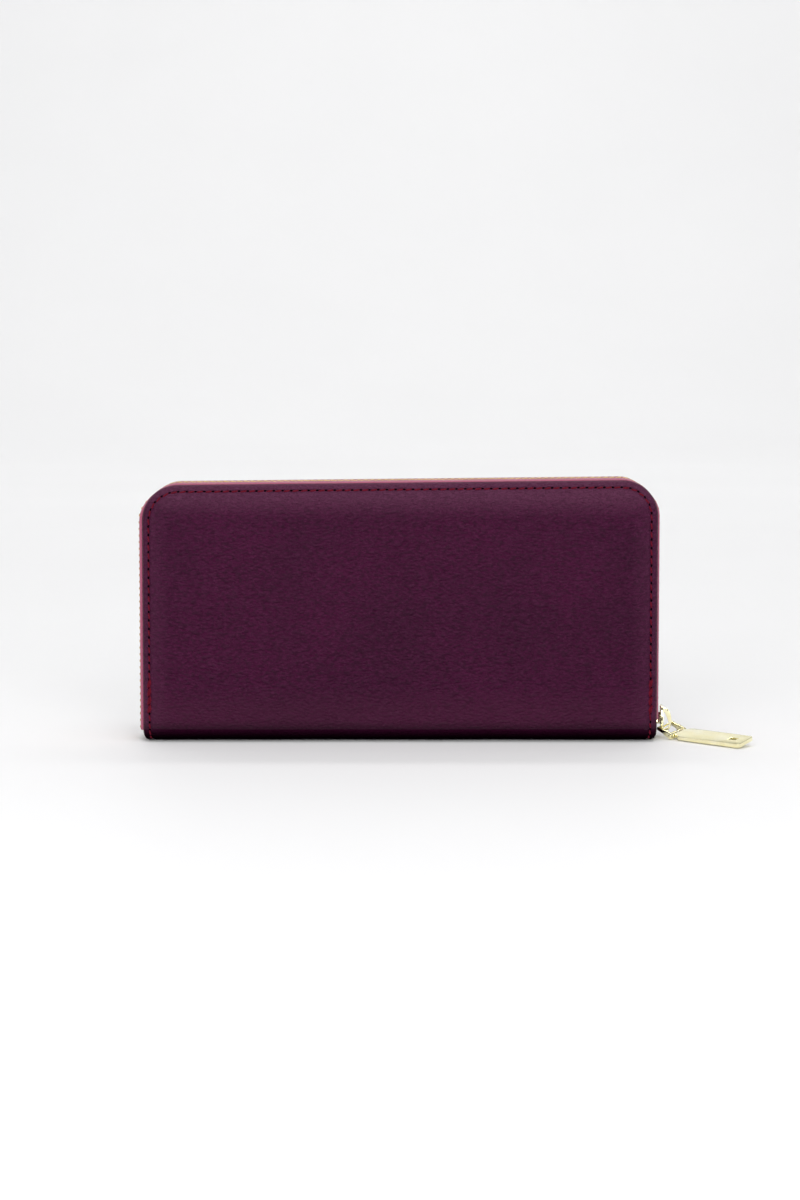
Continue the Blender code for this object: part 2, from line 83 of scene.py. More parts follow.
def mesh_object(name, verts, faces, mats, face_mat=None, smooth=True, sharp=None):
    """verts in millimetres."""
    me = bpy.data.meshes.new(name)
    v = np.asarray(verts, dtype=np.float64) * MM
    me.from_pydata(v.tolist(), [], [tuple(int(i) for i in f) for f in faces])
    for m in (mats if isinstance(mats, (list, tuple)) else [mats]):
        me.materials.append(m)
    if face_mat is not None:
        me.polygons.foreach_set("material_index", list(face_mat))
    if smooth:
        me.shade_smooth()
        if sharp:
            me.set_sharp_from_angle(angle=math.radians(sharp))
    me.update()
    return new_object(name, me)


def fix_normals(ob):
    bm = bmesh.new()
    bm.from_mesh(ob.data)
    bmesh.ops.recalc_face_normals(bm, faces=bm.faces)
    bm.to_mesh(ob.data)
    bm.free()
    return ob


def apply_modifiers(ob):
    dg = bpy.context.evaluated_depsgraph_get()
    me = bpy.data.meshes.new_from_object(ob.evaluated_get(dg))
    ob.modifiers.clear()
    old = ob.data
    ob.data = me
    bpy.data.meshes.remove(old)
    return ob


class Builder:
    """Collects many small bodies into one mesh."""

    def __init__(self):
        self.v, self.f, self.m = [], [], []

    def add(self, verts, faces, mat=0):
        n = len(self.v)
        self.v.extend([tuple(p) for p in verts])
        self.f.extend([tuple(i + n for i in f) for f in faces])
        self.m.extend([mat] * len(faces))

    def tube(self, pts, ups, rw, rh, seg=8, mat=0, taper=None):
        """Closed tube along pts; ups is the surface normal at each point."""
        pts = [Vector(p) for p in pts]
        ring = []
        n = len(pts)
        for i, p in enumerate(pts):
            t = (pts[min(i + 1, n - 1)] - pts[max(i - 1, 0)]).normalized()
            up = Vector(ups[i]).normalized()
            side = t.cross(up).normalized()
            up = side.cross(t).normalized()
            k = taper[i] if taper else 1.0
            for a in range(seg):
                c = 2 * math.pi * a / seg
                ring.append(p + side * (rw * k * math.cos(c)) + up * (rh * k * math.sin(c)))
        faces = []
        for i in range(n - 1):
            for a in range(seg):
                b = (a + 1) % seg
                faces.append((i * seg + a, i * seg + b, (i + 1) * seg + b, (i + 1) * seg + a))
        faces.append(tuple(range(seg - 1, -1, -1)))
        faces.append(tuple((n - 1) * seg + a for a in range(seg)))
        self.add(ring, faces, mat)

    def object(self, name, mats, sharp=None):
        ob = mesh_object(name, self.v, self.f, mats, self.m, True, sharp)
        return fix_normals(ob)


# ------------------------------------------------------------------ materials
def srgb(r, g, b):
    out = []
    for c in (r, g, b):
        c = c / 255.0
        out.append(c / 12.92 if c <= 0.04045 else ((c + 0.055) / 1.055) ** 2.4)
    return (*out, 1.0)


class Mat:
    def __init__(self, name, rough=0.5, metal=0.0, spec=0.5, sheen=0.0, coat=0.0, coat_rough=0.3):
        self.mat = bpy.data.materials.new(name)
        self.mat.use_nodes = True
        self.nt = self.mat.node_tree
        self.b = self.nt.nodes["Principled BSDF"]
        self.b.inputs["Roughness"].default_value = rough
        self.b.inputs["Metallic"].default_value = metal
        self.b.inputs["Specular IOR Level"].default_value = spec
        self.b.inputs["Sheen Weight"].default_value = sheen
        self.b.inputs["Coat Weight"].default_value = coat
        self.b.inputs["Coat Roughness"].default_value = coat_rough
        self._coord = None

    def n(self, kind, **kw):
        node = self.nt.nodes.new(kind)
        for k, v in kw.items():
            if k in node.inputs:
                node.inputs[k].default_value = v
            else:
                setattr(node, k, v)
        return node

    def link(self, a, b):
        self.nt.links.new(a, b)

    def coord(self, scale=(1, 1, 1), rot=(0, 0, 0)):
        if self._coord is None:
            self._coord = self.n("ShaderNodeTexCoord")
        m = self.n("ShaderNodeMapping")
        m.inputs["Scale"].default_value = scale
        m.inputs["Rotation"].default_value = rot
        self.link(self._coord.outputs["Object"], m.inputs["Vector"])
        return m.outputs["Vector"]

    def noise(self, scale, detail=4.0, rough=0.5, coord=None, distortion=0.0):
        t = self.n("ShaderNodeTexNoise")
        t.inputs["Scale"].default_value = scale
        t.inputs["Detail"].default_value = detail
        t.inputs["Roughness"].default_value = rough
        t.inputs["Distortion"].default_value = distortion
        self.link(coord if coord is not None else self.coord(), t.inputs["Vector"])
        return t.outputs["Fac"]

    def voronoi(self, scale, coord=None, feature="DISTANCE_TO_EDGE", rand=1.0):
        t = self.n("ShaderNodeTexVoronoi")
        t.feature = feature
        t.inputs["Scale"].default_value = scale
        t.inputs["Randomness"].default_value = rand
        self.link(coord if coord is not None else self.coord(), t.inputs["Vector"])
        return t.outputs["Distance"]

    def ramp(self, fac, stops):
        r = self.n("ShaderNodeValToRGB")
        el = r.color_ramp.elements
        while len(el) < len(stops):
            el.new(0.5)
        for e, (pos, col) in zip(el, stops):
            e.position = pos
            e.color = col if len(col) == 4 else (*col, 1.0)
        self.link(fac, r.inputs["Fac"])
        return r.outputs["Color"]

    def span(self, fac, a0, a1, b0, b1):
        m = self.n("ShaderNodeMapRange")
        m.inputs["From Min"].default_value = a0
        m.inputs["From Max"].default_value = a1
        m.inputs["To Min"].default_value = b0
        m.inputs["To Max"].default_value = b1
        self.link(fac, m.inputs["Value"])
        return m.outputs["Result"]

    def math(self, op, a, b=None):
        m = self.n("ShaderNodeMath")
        m.operation = op
        for i, s in enumerate((a, b)):
            if s is None:
                continue
            if isinstance(s, (int, float)):
                m.inputs[i].default_value = s
            else:
                self.link(s, m.inputs[i])
        return m.outputs[0]

    def mix(self, fac, a, b, blend="MIX"):
        m = self.n("ShaderNodeMix")
        m.data_type = "RGBA"
        m.blend_type = blend
        for s, sock in ((fac, m.inputs[0]), (a, m.inputs[6]), (b, m.inputs[7])):
            if isinstance(s, (int, float)):
                sock.default_value = s
            elif isinstance(s, tuple):
                sock.default_value = s
            else:
                self.link(s, sock)
        return m.outputs[2]

    def color(self, out):
        self.link(out, self.b.inputs["Base Color"])

    def rough(self, out):
        self.link(out, self.b.inputs["Roughness"])

    def bump(self, height, strength, distance, prev=None):
        bmp = self.n("ShaderNodeBump")
        bmp.inputs["Strength"].default_value = strength
        bmp.inputs["Distance"].default_value = distance
        self.link(height, bmp.inputs["Height"])
        if prev is not None:
            self.link(prev, bmp.inputs["Normal"])
        self.link(bmp.outputs["Normal"], self.b.inputs["Normal"])
        return bmp.outputs["Normal"]


def leather(name, base, dark, light, lower_band_highlight_colour=None, edge_highlight_colour=srgb(84, 42, 66), grain=1.0, rough=(0.34, 0.44), spec=0.075, foot=True):
    """Imitation leather: fine uneven pebbles, wider than high, with slightly
    darker creases between them, a slight change of colour over the piece,
    a painted glint on the raised grain and, where foot is set, painted
    highlights above the foot, along the top edge and at the ends, and
    painted shade darkening the turn at the foot."""
    m = Mat(name, rough=0.45, spec=spec)
    wide = m.coord((0.58, 1.0, 1.0))
    peb = m.voronoi(1350, wide, "SMOOTH_F1", 1.0)
    small = m.voronoi(2900, wide, "F1", 1.0)
    fine = m.noise(5200, 3.0, 0.6, wide)
    mid = m.noise(1150, 4.0, 0.60, m.coord((0.55, 1.0, 1.0)), 0.5)
    broad = m.noise(30, 3.0, 0.5)
    c = m.ramp(broad, [(0.34, base), (0.66, light)])
    crease = m.span(peb, 0.34, 0.66, 0.0, 1.0)
    c = m.mix(m.math("MULTIPLY", crease, 0.58), c, dark)
    # painted glint: the raised parts of the mid grain are mixed towards a lighter colour, standing in for small
    # highlights on the grain
    painted_glint_mask = m.span(mid, 0.44, 0.64, 0.0, 1.0)
    c = m.mix(m.math("MULTIPLY", painted_glint_mask, 0.30 * grain), c, srgb(76, 30, 60))
    # where foot is set, the colour carries painted light and shade that change with height
    if foot:
        sep = m.n("ShaderNodeSeparateXYZ")
        m.link(m.coord(), sep.inputs[0])
        z = sep.outputs["Z"]
        # painted highlight: from 21.5 mm down, full at 12.5 mm, the face is mixed towards a lighter colour, standing
        # in for light thrown up from the floor
        up = m.span(z, 0.0215, 0.0125, 0.0, 1.0)
        c = m.mix(m.math("MULTIPLY", up, 0.5), c, lower_band_highlight_colour or light)
        # painted highlight: the top 11.5 mm of the face and the last 7 mm at each end are mixed towards a lighter
        # colour, where the rolled edges catch the light
        painted_edge_highlight = m.span(z, 0.0835, 0.0950, 0.0, 0.85)
        painted_edge_highlight.node.interpolation_type = "SMOOTHSTEP"
        side_highlight_mask = m.span(m.math("ABSOLUTE", sep.outputs["X"]), 0.0865, 0.0935, 0.0, 0.30)
        painted_edge_highlight = m.math("MULTIPLY", m.math("MAXIMUM", painted_edge_highlight, side_highlight_mask), m.span(mid, 0.30, 0.70, 0.75, 1.1))
        c = m.mix(painted_edge_highlight, c, edge_highlight_colour)
        # painted shade: below 9.5 mm the colour fades towards near black, standing in for the shade on the turn under
        # at the foot
        low = m.span(z, 0.0095, 0.0010, 0.0, 0.985)
        low.node.interpolation_type = "SMOOTHSTEP"
        c = m.mix(low, c, srgb(5, 1, 4))
    ridge = m.math("ABSOLUTE", m.math("SUBTRACT", m.noise(860, 3.0, 0.55, m.coord((0.55, 1.0, 1.0)), 0.8), 0.5))
    line = m.span(ridge, 0.0, 0.055, 1.0, 0.0)
    if foot:                            # the grain is pressed smooth near the foot
        line = m.math("MULTIPLY", line, m.span(z, 0.0120, 0.0230, 0.2, 1.0))
    c = m.mix(m.math("MULTIPLY", line, 0.42 * grain), c, dark)
    m.color(c)
    m.rough(m.span(mid, 0.3, 0.7, rough[0], rough[1]))
    n0 = m.bump(line, -0.60 * grain, 0.00022)
    n1 = m.bump(peb, min(1.0, 1.2 * grain), 0.00055, n0)
    n2 = m.bump(small, 0.45 * grain, 0.00010, n1)
    n3 = m.bump(mid, 0.80 * grain, 0.00060, n2)
    m.bump(fine, 0.35 * grain, 0.00006, n3)
    return m.mat


# all three cover leathers carry the painted highlights and painted shade of leather()
PLUM = leather("plum_leather", srgb(52, 5, 37), srgb(33, 3, 23), srgb(61, 6, 43), srgb(60, 20, 43))
# painted shade: a copy of the plum leather with no reflection, put on the foot so that it stays dark
PLUM_FOOT_SHADE_COPY = leather("plum_leather_foot_shade_copy", srgb(52, 5, 37), srgb(33, 3, 23), srgb(61, 6, 43), srgb(60, 20, 43), spec=0.0)
PLUM_EDGE = leather("plum_leather_edge", srgb(66, 40, 47), srgb(44, 24, 31), srgb(78, 52, 58),
                    grain=0.4, rough=(0.40, 0.52))


def thread_material(name, a, b):
    m = Mat(name, rough=0.55, spec=0.12)
    w = m.n("ShaderNodeTexWave")
    w.wave_type = "BANDS"
    w.bands_direction = "DIAGONAL"
    w.inputs["Scale"].default_value = 1800.0
    w.inputs["Distortion"].default_value = 1.2
    m.link(m.coord(), w.inputs["Vector"])
    m.color(m.ramp(w.outputs["Fac"], [(0.2, a), (0.8, b)]))
    m.rough(m.span(m.noise(3000), 0.3, 0.7, 0.45, 0.65))
    m.bump(w.outputs["Fac"], 0.6, 0.00008)
    return m.mat


THREAD = thread_material("crimson_thread", srgb(66, 2, 20), srgb(112, 5, 36))


# painted shade: a near-black disc laid in each needle hole stands in for the shadow inside the hole
def hole_shade_material():
    m = Mat("needle_hole_shade", rough=0.9, spec=0.0)
    m.color(m.ramp(m.noise(2500), [(0.3, srgb(4, 1, 3)), (0.7, srgb(13, 4, 9))]))
    m.rough(m.span(m.noise(1800), 0.3, 0.7, 0.8, 0.95))
    return m.mat


HOLE_SHADE = hole_shade_material()


def tape_material(name, a, b, c):
    """Woven zip tape: fine ribs across the tape with a looser weft."""
    m = Mat(name, rough=0.75, spec=0.2, sheen=0.25)
    g = m.n("ShaderNodeTexChecker")
    weave = m.voronoi(3200, m.coord((1.0, 1.0, 1.0)), "F1", 0.25)
    ribs = m.noise(1500, 2.0, 0.4)
    col = m.ramp(weave, [(0.15, c), (0.45, a), (0.8, b)])
    m.nt.nodes.remove(g)
    col = m.mix(m.span(ribs, 0.35, 0.65, 0.0, 0.5), col, a)
    m.color(col)
    m.rough(m.span(ribs, 0.3, 0.7, 0.68, 0.85))
    m.bump(weave, 0.7, 0.00018)
    return m.mat


TAPE = tape_material("rose_zip_tape", srgb(158, 66, 98), srgb(188, 98, 130), srgb(114, 32, 62))


def metal_material(name, a, b, rough=(0.14, 0.26), scratch=0.15, tarnish=srgb(150, 110, 50)):
    m = Mat(name, rough=0.2, metal=1.0)
    broad = m.noise(220, 3.0, 0.5)
    c = m.ramp(broad, [(0.3, a), (0.7, b)])
    grime = m.span(m.noise(900, 4.0, 0.6), 0.60, 0.76, 0.0, 0.35)
    m.color(m.mix(grime, c, tarnish))
    m.rough(m.span(m.noise(1600, 5.0, 0.65), 0.3, 0.7, rough[0], rough[1]))
    s = m.noise(2400, 3.0, 0.6, m.coord((1.0, 0.15, 1.0)))
    m.bump(s, scratch, 0.00004)
    return m.mat


GOLD = metal_material("light_gold", srgb(246, 238, 190), srgb(252, 247, 212), (0.06, 0.13), 0.05, srgb(214, 178, 84))
TOOTH = metal_material("tooth_gold", srgb(206, 166, 62), srgb(228, 194, 104), (0.2, 0.32))


# ------------------------------------------------------------------ cover surface
def profile(v, side):
    """Outer face at the arc length v from the middle of the underside."""
    if v <= FLAT:
        return Vector((0, side * v, 0)), Vector((0, 0, -1))
    if v <= V_SIDE:
        a = (v - FLAT) / SPINE_R
        return (Vector((0, side * (FLAT + SPINE_R * math.sin(a)), SPINE_R - SPINE_R * math.cos(a))),
                Vector((0, side * math.sin(a), -math.cos(a))))
    return Vector((0, side * FRONT, SPINE_R + v - V_SIDE)), Vector((0, side, 0))


def half_at(v):
    """Half length at v: the ends draw in where the spine turns under."""
    if v < 13.0:
        return HALF - 2.6 * (1 - v / 13.0) ** 2
    return HALF


def inset(x, v):
    """Distance in from the side and top edges of the sheet."""
    h = half_at(v)
    ax = abs(x)
    cx, cv = HALF - CORNER, V_TOP - CORNER
    if ax > cx and v > cv:
        return CORNER - math.hypot(ax - cx, v - cv)
    return min(h - ax, V_TOP - v)


def lift(x, z):
    """The soft wallet stands a little taller towards the slider end."""
    return z * (1.0 + 0.0105 * x / HALF) - (0.0 if z <= 0 else 0.0)


def undulate(x, v, seed):
    p = Vector((x * 0.028, v * 0.05, seed))
    a = noise.noise(p) * 0.16
    a += noise.noise(Vector((x * 0.09, v * 0.34, seed + 7))) * 0.05
    a += noise.noise(Vector((x * 0.22, v * 0.75, seed + 13))) * 0.02
    return a


def skin_height(x, v, e, seed, edge=True):
    """Height of the finished leather over the nominal face."""
    t = max(0.0, 1 - e / ROLL_W)
    under = 1.0 if v > V_SIDE else 0.12 + 0.88 * max(0.0, (v - 6.0) / (V_SIDE - 6.0)) ** 1.5
    h = -ROLL * t * t * under
    # the padding makes the field stand slightly proud
    k = min(1.0, max(0.0, (e - 3.0) / 22.0))
    h += 0.35 * (1 - (1 - k) ** 2) * (1.0 if v > V_SIDE else max(0.0, (v - 9) / (V_SIDE - 9)))
    # groove pulled in by the thread, rounded welt outside it
    h -= 0.34 * math.exp(-((e - THREAD_E) / 0.50) ** 2)
    h += 0.10 * math.exp(-((e - 1.35) / 0.6) ** 2)
    h += 0.04 * math.exp(-((e - 3.6) / 0.7) ** 2)
    fade = min(1.0, max(0.0, (e - 1.0) / 4.0))
    h += undulate(x, v, seed) * fade
    if v < 14:                      # underside bows up a little along the middle
        h -= 0.45 * (1 - (x / HALF) ** 2) * max(0.0, 1 - v / 14.0)
    if edge and e < 1.0:
        h -= 1.0 - math.sqrt(max(0.0, 1 - (1 - e) ** 2))
    return h


def edge_path(e, v_foot, step):
    """Points (x, v, tx, tv) along the line at the distance e from the edge,
    from the left foot over the top to the right foot."""
    cx, cv = HALF - CORNER, V_TOP - CORNER
    r = CORNER - e
    out = []
    l1 = cv - v_foot
    l2 = math.pi / 2 * r
    l3 = 2 * cx
    total = 2 * l1 + 2 * l2 + l3
    count = int(round(total / step))
    for i in range(count + 1):
        s = total * i / count
        if s <= l1:
            v = v_foot + s
            out.append((-(half_at(v) - e), v, 0.0, 1.0))
        elif s <= l1 + l2:
            a = math.pi - (s - l1) / r
            out.append((-cx + r * math.cos(a), cv + r * math.sin(a), math.sin(a), -math.cos(a)))
        elif s <= l1 + l2 + l3:
            out.append((-cx + s - l1 - l2, V_TOP - e, 1.0, 0.0))
        elif s <= l1 + 2 * l2 + l3:
            a = math.pi / 2 - (s - l1 - l2 - l3) / r
            out.append((cx + r * math.cos(a), cv + r * math.sin(a), math.sin(a), -math.cos(a)))
        else:
            v = cv - (s - l1 - 2 * l2 - l3)
            out.append((half_at(v) - e, v, 0.0, -1.0))
    return out


HOLE_POINTS = edge_path(THREAD_E, 7.5, PITCH)
HOLES = KDTree(len(HOLE_POINTS))
for i, p in enumerate(HOLE_POINTS):
    HOLES.insert((p[0], p[1], 0.0), i)
HOLES.balance()


def pucker(x, v, e):
    """The thread draws the skin in at every needle hole; between two holes
    the skin swells a little on the inner side of the seam."""
    co, i, d = HOLES.find((x, v, 0.0))
    h = -0.20 * math.exp(-(d / 0.75) ** 2)
    m = math.exp(-((e - 3.5) / 0.75) ** 2)
    return h + 0.24 * m * (min(1.0, d / 1.9) - 0.6)


def on_sheet(x, v, h, side):
    p, n = profile(v, side)
    q = p + n * h
    return Vector((x, q.y, lift(x, q.z)))


def sheet_normal(v, side):
    return profile(v, side)[1]


def cover_sheet(name, side, seed):
    cx, cv = HALF - CORNER, V_TOP - CORNER
    ix, iv = HALF - ROLL_W, V_TOP - ROLL_W
    across, up = ((270, 112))
    xs = list(np.linspace(-ix, -cx, 9)) + list(np.linspace(-cx, cx, across))[1:-1] + list(np.linspace(cx, ix, 9))
    vs = list(np.linspace(0, FLAT, 7)) + list(np.linspace(FLAT, V_SIDE, 20))[1:] + \
        list(np.linspace(V_SIDE, cv, up))[1:] + list(np.linspace(cv, iv, 9))[1:]
    nx, nv = len(xs), len(vs)
    dom = []                        # (x, v) of every vertex of one face
    for v in vs:
        for x in xs:
            k = half_at(v) / HALF
            dom.append((x * k if v < 17 else x, v))
    idx = lambda i, j: j * nx + i
    faces = []
    for j in range(nv - 1):
        for i in range(nx - 1):
            faces.append((idx(i, j), idx(i + 1, j), idx(i + 1, j + 1), idx(i, j + 1)))
    per = [idx(0, j) for j in range(nv)] + [idx(i, nv - 1) for i in range(1, nx)] + \
          [idx(nx - 1, j) for j in range(nv - 2, -1, -1)]
    steps = [7.8, 6.7, 5.8, 5.0, 4.3, 3.8, 3.4, 3.1, 2.85, 2.6, 2.35, 2.1, 1.8, 1.45, 1.1, 0.8, 0.5, 0.25, 0.08, 0.0]
    prev = per
    for e in steps:
        t = 1 - e / ROLL_W
        ring = []
        for p in per:
            x, v = dom[p]
            if abs(x) > cx and v > cv:
                sx = 1 if x > 0 else -1
                d = Vector((abs(x) - cx, v - cv)).normalized()
                ox, ov = sx * (cx + CORNER * d.x), cv + CORNER * d.y
            elif v > cv:
                ox, ov = x, V_TOP
            else:
                ox, ov = (1 if x > 0 else -1) * half_at(v), v
            dom.append((x + (ox - x) * t, v + (ov - v) * t))
            ring.append(len(dom) - 1)
        for a in range(len(per) - 1):
            faces.append((prev[a], prev[a + 1], ring[a + 1], ring[a]))
        prev = ring
    n = len(dom)
    edge_ring = set(prev)
    outer, inner = [], []
    for k, (x, v) in enumerate(dom):
        e = max(0.0, inset(x, v))
        base = skin_height(x, v, max(e, 1.0), seed, False)
        top = base if e >= 1.0 else skin_height(x, v, e, seed)
        if 1.2 < e < 6.0:
            top += pucker(x, v, e)
        outer.append(on_sheet(x, v, top, side))
        t = max(0.0, min(1.0, (e - 2.2) / 1.0))
        deep = 1.95 - 0.95 * t * t * (3 - 2 * t)
        if e < 1.0:
            deep = 1.0 + 0.95 * math.sqrt(max(0.0, 1 - (1 - e) ** 2))
        if v < 14:
            deep = min(deep, 0.8 + 0.014 * v)
        inner.append(on_sheet(x, v, base - deep, side))
    verts = outer[:]
    remap = {}
    for k in range(n):
        if k in edge_ring:
            remap[k] = k
        else:
            remap[k] = len(verts)
            verts.append(inner[k])
    allf = list(faces)
    allf += [tuple(remap[i] for i in reversed(f)) for f in faces]
    # close the cut along the middle of the underside
    low = [edge_ring_i for edge_ring_i in []]
    row = [idx(i, 0) for i in range(nx)]
    left, right = [], []
    for r in range(len(steps)):
        start = nx * nv + r * len(per)
        left.append(start)
        right.append(start + len(per) - 1)
    line = left[::-1] + row + right
    for a, b in zip(line[:-1], line[1:]):
        ids = []
        for q in (a, b, remap[b], remap[a]):
            if q not in ids:
                ids.append(q)
        if len(ids) > 2:
            allf.append(tuple(ids))
    near_edge = [k for k in range(n) if inset(*dom[k]) < 0.72]
    rim = set(near_edge) | {remap[k] for k in near_edge}
    # faces lying below 5.2 mm get the reflection-free copy, painted shade at the foot
    ob = mesh_object(name, verts, allf, [PLUM, PLUM_EDGE, PLUM_FOOT_SHADE_COPY], [1 if all(i in rim for i in f) else (2 if all(verts[i][2] < 5.2 for i in f) else 0) for f in allf])
    fix_normals(ob)
    return ob


def one_stitch(bld, x, v, tx, tv, side, seed, length=2.25, shift=0.0, slant=0.12):
    nx_, nv_ = -tv, tx
    pts, ups = [], []
    for k in range(9):
        u = (k / 8 - 0.5) * 2
        s = u * length / 2
        o = shift + slant * u * 1.6
        px, pv = x + tx * s + nx_ * o, v + tv * s + nv_ * o
        e = inset(px, pv)
        h = skin_height(px, pv, e, seed, False) + 0.16 - 0.34 * abs(u) ** 3.2
        pts.append(on_sheet(px, pv, h, side))
        ups.append(sheet_normal(pv, side))
    bld.tube(pts, ups, 0.33, 0.26, 8, 0, [0.62, 0.90, 1.0, 1.05, 1.06, 1.05, 1.0, 0.90, 0.62])


# a flat near-black disc at a needle hole, painted shade
def one_hole_shade_disc(bld, x, v, tx, tv, side, seed):
    nrm = sheet_normal(v, side)
    e = inset(x, v)
    c = on_sheet(x, v, skin_height(x, v, e, seed, False) - 0.07, side)
    a = (on_sheet(x + tx * 0.1, v + tv * 0.1, 0, side) - on_sheet(x, v, 0, side)).normalized()
    b = nrm.cross(a).normalized()
    verts = [c + nrm * 0.03]
    for q in range(10):
        w = 2 * math.pi * q / 10
        verts.append(c + a * 0.56 * math.cos(w) + b * 0.46 * math.sin(w))
    verts.append(c - nrm * 0.10)
    faces = [(0, q + 1, (q + 1) % 10 + 1) for q in range(10)]
    faces += [(11, (q + 1) % 10 + 1, q + 1) for q in range(10)]
    bld.add(verts, faces, 1)


def cover_stitches(name, side, seed):
    bld = Builder()
    path = edge_path(THREAD_E, 7.5, PITCH)
    for i in range(len(path) - 1):
        a, b = path[i], path[i + 1]
        x, v = (a[0] + b[0]) / 2, (a[1] + b[1]) / 2
        t = Vector((b[0] - a[0], b[1] - a[1])).normalized()
        one_stitch(bld, x, v, t.x, t.y, side, seed)
        z = profile(v, side)[0].z
        if abs(x) > HALF - 5 and 9.5 < z < 23:
            one_stitch(bld, x, v, t.x, t.y, side, seed, 2.9, 0.42, -0.12)
            one_stitch(bld, x + 0.0, v + 0.9 * t.y, t.x, t.y, side, seed, 2.4, -0.34, 0.14)
        one_hole_shade_disc(bld, a[0], a[1], t.x, t.y, side, seed)
    return bld.object(name, [THREAD, HOLE_SHADE])


def bend(ob):
    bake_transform(ob)


for word, side, seed in (("front", -1, 3.1), ("back", 1, 21.7)):
    body = word + "_cover"
    ob = cover_sheet(word + "_leather_sheet", side, seed)
    bend(ob)
    if word == "front":
        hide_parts("front_cover_leather", "spine_leather")
    else:
        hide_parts("back_cover_leather")
    st = cover_stitches(word + "_border_stitches", side, seed)
    bend(st)

# ------------------------------------------------------------------ main zip
SIDE_OUT, TOP_OUT, CORNER_IN = 0.88, 0.30, 0.50   # the chain lies lower over the top and the corners


def zip_point(s_tuple, d, y):
    """A point at the distance d out from the cover edge and y from the middle."""
    x, z, nx, nz = s_tuple
    k = 1.0
    if d > 0:
        k = (SIDE_OUT - (0.28 if x > 0 else 0.0)) * nx * nx + TOP_OUT * nz * nz - CORNER_IN * (2 * nx * nz) ** 2
        k = max(k, 0.06)
    px, pz = x + nx * d * k, z + nz * d * k
    return Vector((px, y, lift(px, pz)))


def zip_line(foot_right, foot_left, step):
    """(x, z, nx, nz) along the cover outline from the right foot, over the
    top, to the left foot, every step."""
    cx, cz = HALF - CORNER, TOP - CORNER
    l1, l2, l3, l5 = cz - foot_right, math.pi / 2 * CORNER, 2 * cx, cz - foot_left
    total = l1 + 2 * l2 + l3 + l5
    count = int(round(total / step))
    out = []
    for i in range(count + 1):
        s = total * i / count
        if s <= l1:
            z = foot_right + s
            out.append((HALF, z, 1.0, 0.0))
        elif s <= l1 + l2:
            a = (s - l1) / CORNER
            out.append((cx + CORNER * math.cos(a), cz + CORNER * math.sin(a), math.cos(a), math.sin(a)))
        elif s <= l1 + l2 + l3:
            out.append((cx - (s - l1 - l2), TOP, 0.0, 1.0))
        elif s <= l1 + 2 * l2 + l3:
            a = math.pi / 2 + (s - l1 - l2 - l3) / CORNER
            out.append((-cx + CORNER * math.cos(a), cz + CORNER * math.sin(a), math.cos(a), math.sin(a)))
        else:
            z = cz - (s - l1 - 2 * l2 - l3)
            d = max(0.0, 1 - z / 5.0)
            out.append((-HALF + 1.2 * d * d, z, -1.0, 0.0))
    return out


TAPE_SECTION = [(-4.2, 9.45), (-2.6, 9.45), (-1.0, 9.45), (-0.3, 9.42), (0.25, 9.25), (0.75, 8.85),
                (1.15, 8.25), (1.42, 7.5), (1.58, 6.6), (1.66, 5.6), (1.70, 4.6), (1.72, 3.9),
                (1.80, 3.45), (1.84, 3.0), (1.80, 2.5), (1.72, 1.9)]


def tape_mesh(name, side):
    path = zip_line(8.0, 4.2, 1.2)
    sec = TAPE_SECTION
    nrm = []
    for k in range(len(sec)):
        a, b = sec[max(k - 1, 0)], sec[min(k + 1, len(sec) - 1)]
        t = Vector((b[0] - a[0], b[1] - a[1])).normalized()
        nrm.append((-t.y, t.x))
    rows = []
    for s in path:
        ripple = 0.05 * noise.noise(Vector((s[0] * 0.11, s[1] * 0.11, side * 3.0)))
        outer = [zip_point(s, d + ripple * (1 if d > 0 else 0), side * y) for d, y in sec]
        inner = [zip_point(s, d - abs(n[0]) * 0.36 * (1 if n[0] else 1) - 0.0, side * (y - abs(n[1]) * 0.36))
                 for (d, y), n in zip(sec, nrm)]
        rows.append(outer + inner[::-1])
    m = len(rows[0])
    verts = [p for r in rows for p in r]
    faces = []
    for i in range(len(rows) - 1):
        for k in range(m):
            q = (k + 1) % m
            faces.append((i * m + k, i * m + q, (i + 1) * m + q, (i + 1) * m + k))
    faces.append(tuple(range(m)))
    faces.append(tuple((len(rows) - 1) * m + k for k in range(m - 1, -1, -1)))
    return fix_normals(mesh_object(name, verts, faces, TAPE))


TOOTH_SECTION = [  # (y towards the other row, half width along the zip, half thickness)
    (3.75, 0.34, 0.62), (3.62, 0.52, 0.86), (3.2, 0.62, 0.97), (2.0, 0.64, 0.98), (1.25, 0.60, 0.92),
    (0.75, 0.46, 0.74), (0.30, 0.42, 0.66), (-0.15, 0.55, 0.72), (-0.55, 0.55, 0.66), (-0.82, 0.36, 0.42)]
TOOTH_MID = 1.28


def tooth(bld, s, side, foot=0.0):
    x, z, nx, nz = s
    tx, tz = -nz, nx
    ring = []
    seg = 10
    for y, hw, ht in TOOTH_SECTION:
        for a in range(seg):
            c = 2 * math.pi * (a + 0.5) / seg
            u = math.copysign(abs(math.cos(c)) ** 0.55, math.cos(c)) * hw
            w = math.copysign(abs(math.sin(c)) ** 0.55, math.sin(c)) * ht
            st = (x + tx * u, z + tz * u, nx, nz)
            ring.append(zip_point(st, TOOTH_MID + w, side * y))
    faces = []
    n = len(TOOTH_SECTION)
    for i in range(n - 1):
        for a in range(seg):
            b = (a + 1) % seg
            faces.append((i * seg + a, i * seg + b, (i + 1) * seg + b, (i + 1) * seg + a))
    faces.append(tuple(range(seg - 1, -1, -1)))
    faces.append(tuple((n - 1) * seg + a for a in range(seg)))
    bld.add(ring, faces)


